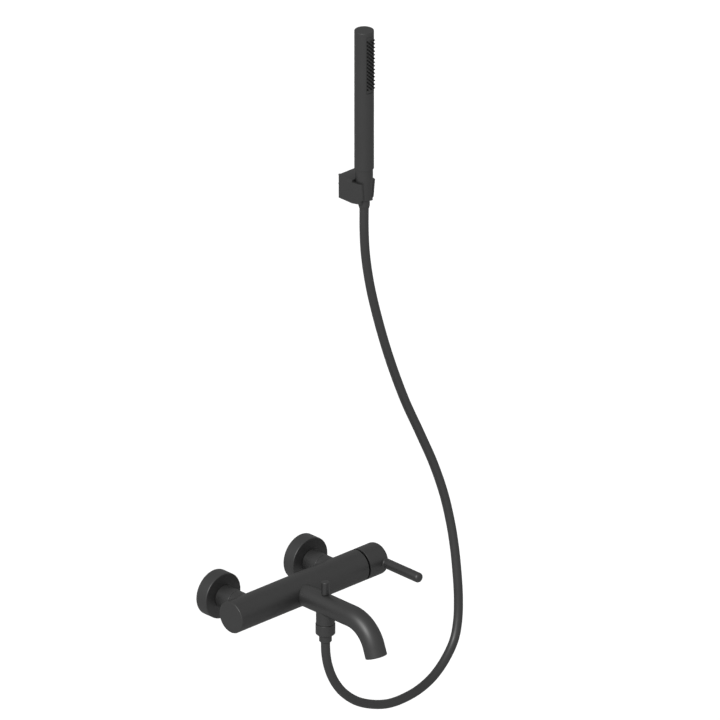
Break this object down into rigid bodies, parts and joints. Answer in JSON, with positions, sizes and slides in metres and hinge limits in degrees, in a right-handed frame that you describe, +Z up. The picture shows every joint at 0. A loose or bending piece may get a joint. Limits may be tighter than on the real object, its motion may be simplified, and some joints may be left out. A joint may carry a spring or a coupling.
{
  "type": "wall mounted bath faucet",
  "caption": "Wall mounted bath faucet with a side lever, a bent spout with a pull-up diverter, and a slim hand shower on a hose and a wall bracket.",
  "frame": {"origin": "on the finished wall, midway between the two inlets, at the height of the inlets and of the body's axis", "axes": "+Z up, -Y straight out from the wall, +X towards the lever handle and the hand shower"},
  "size_m": [0.3792, 0.2426, 0.8897],
  "materials": {
    "black_coat": "fine matt black powder coat on brass",
    "black_plastic": "moulded black engineering plastic",
    "hose_skin": "smooth satin black plastic skin over a braided hose",
    "white_plastic": "moulded white plastic",
    "bare_brass": "turned brass, uncoated",
    "steel": "plain stainless steel",
    "rubber": "black sealing rubber",
    "spray_rubber": "soft dark grey silicone with nozzles",
    "ceramic": "lapped white ceramic"
  },
  "bodies": {
    "root": {"left_wall_union": "bare_brass", "right_wall_union": "bare_brass", "left_inlet_nipple": "bare_brass", "right_inlet_nipple": "bare_brass", "left_flange": "black_coat", "right_flange": "black_coat", "left_union_nut": "black_coat", "right_union_nut": "black_coat", "left_filter_washer": "rubber", "right_filter_washer": "rubber", "left_return_valve": "white_plastic", "right_return_valve": "white_plastic", "mixer_body": "black_coat", "inner_waterway": "white_plastic", "waterway_seal_1": "rubber", "waterway_seal_2": "rubber", "cartridge_base_seal": "rubber", "cartridge_base": "black_plastic", "ceramic_disc_fixed": "ceramic", "cartridge_housing": "black_plastic", "cartridge_nut": "black_plastic", "spout": "black_coat", "spout_seal": "rubber", "aerator_shell": "black_coat", "aerator_insert": "white_plastic", "aerator_washer": "rubber", "diverter_seat": "bare_brass", "diverter_gland": "black_coat", "outlet_nipple": "bare_brass", "outlet_return_valve": "white_plastic", "hose_nut_lower": "black_coat", "hose_washer_lower": "rubber", "hose_ferrule_lower": "black_coat", "hose": "hose_skin", "bracket_holder": "black_coat", "bracket_wall_plate": "steel", "bracket_screw_1": "steel", "bracket_screw_2": "steel", "bracket_grub_screw": "steel"},
    "turning_head": {"cartridge_turning_head": "black_plastic", "stem_pin": "steel"},
    "handle": {"handle": "black_coat", "cartridge_stem": "bare_brass", "handle_grub_screw": "steel"},
    "moving_disc": {"ceramic_disc_moving": "ceramic"},
    "diverter": {"diverter_rod": "bare_brass", "diverter_disc": "rubber", "diverter_rod_nut": "bare_brass", "diverter_knob": "black_coat"},
    "hose_end": {"hose_ferrule_upper": "bare_brass"},
    "hand_shower": {"cone_nut": "black_coat", "hose_washer_upper": "rubber", "hand_shower_shell": "black_coat", "spray_face": "spray_rubber", "hand_shower_inlet": "bare_brass", "hand_shower_water_guide": "white_plastic"}
  },
  "joints": [
    {"name": "handle_turn", "type": "hinge", "parent": "root", "child": "turning_head", "pos_m": [0.102, -0.0695, 0], "axis": [1, 0, 0], "range_deg": [-45, 45]},
    {"name": "handle_tilt", "type": "hinge", "parent": "turning_head", "child": "handle", "pos_m": [0.102, -0.0695, 0], "axis": [0, 0, 1], "range_deg": [0, 7.5]},
    {"name": "disc_slide", "type": "slide", "parent": "turning_head", "child": "moving_disc", "axis": [0, -1, 0], "range_m": [0, 0.00085]},
    {"name": "diverter_lift", "type": "slide", "parent": "root", "child": "diverter", "axis": [0, 0, 1], "range_m": [0, 0.006]},
    {"name": "shower_lift", "type": "slide", "parent": "root", "child": "hose_end", "axis": [0, 0, 1], "range_m": [0, 0.045]},
    {"name": "shower_turn", "type": "hinge", "parent": "hose_end", "child": "hand_shower", "pos_m": [0.1557, -0.0302, 0.5], "axis": [0, 0, 1], "continuous": true}
  ],
  "couplings": [
    {"joint": "disc_slide", "follows": "handle_tilt", "m_per_rad": 0.00625}
  ]
}
